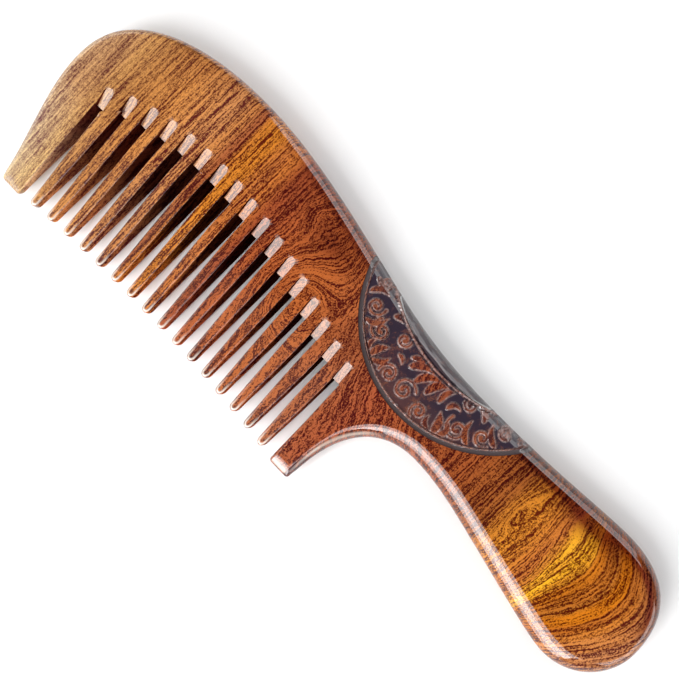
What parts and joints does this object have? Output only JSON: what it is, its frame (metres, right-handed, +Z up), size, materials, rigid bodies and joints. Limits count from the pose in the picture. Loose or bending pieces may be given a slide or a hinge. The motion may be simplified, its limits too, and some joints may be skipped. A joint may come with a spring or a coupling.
{
  "type": "wide tooth comb",
  "caption": "Flat wooden wide-tooth comb with a curved back, long tapered teeth between two guard teeth, a carved round medallion on the neck and a shaped handle.",
  "frame": {"origin": "under the middle of the comb's outline, on the surface that the comb lies on", "axes": "+X from the rounded head to the handle's end, +Y from the tooth tips to the back edge, +Z up through the thickness"},
  "size_m": [0.1891, 0.0576, 0.01],
  "materials": {
    "pale_wood": "gloss lacquer",
    "red_wood": "gloss lacquer",
    "stained_wood": "dark stained satin"
  },
  "bodies": {
    "root": {"head_back": "pale_wood", "handle": "red_wood", "neck_medallion": "stained_wood", "medallion_edge_boss": "stained_wood", "outer_guard_tooth": "pale_wood", "tooth_01": "pale_wood", "tooth_02": "pale_wood", "tooth_03": "pale_wood", "tooth_04": "pale_wood", "tooth_05": "pale_wood", "tooth_06": "pale_wood", "tooth_07": "pale_wood", "tooth_08": "pale_wood", "tooth_09": "red_wood", "tooth_10": "red_wood", "tooth_11": "red_wood", "tooth_12": "red_wood", "tooth_13": "red_wood", "tooth_14": "red_wood", "tooth_15": "red_wood", "tooth_16": "red_wood", "inner_guard_tooth": "red_wood"}
  },
  "joints": []
}
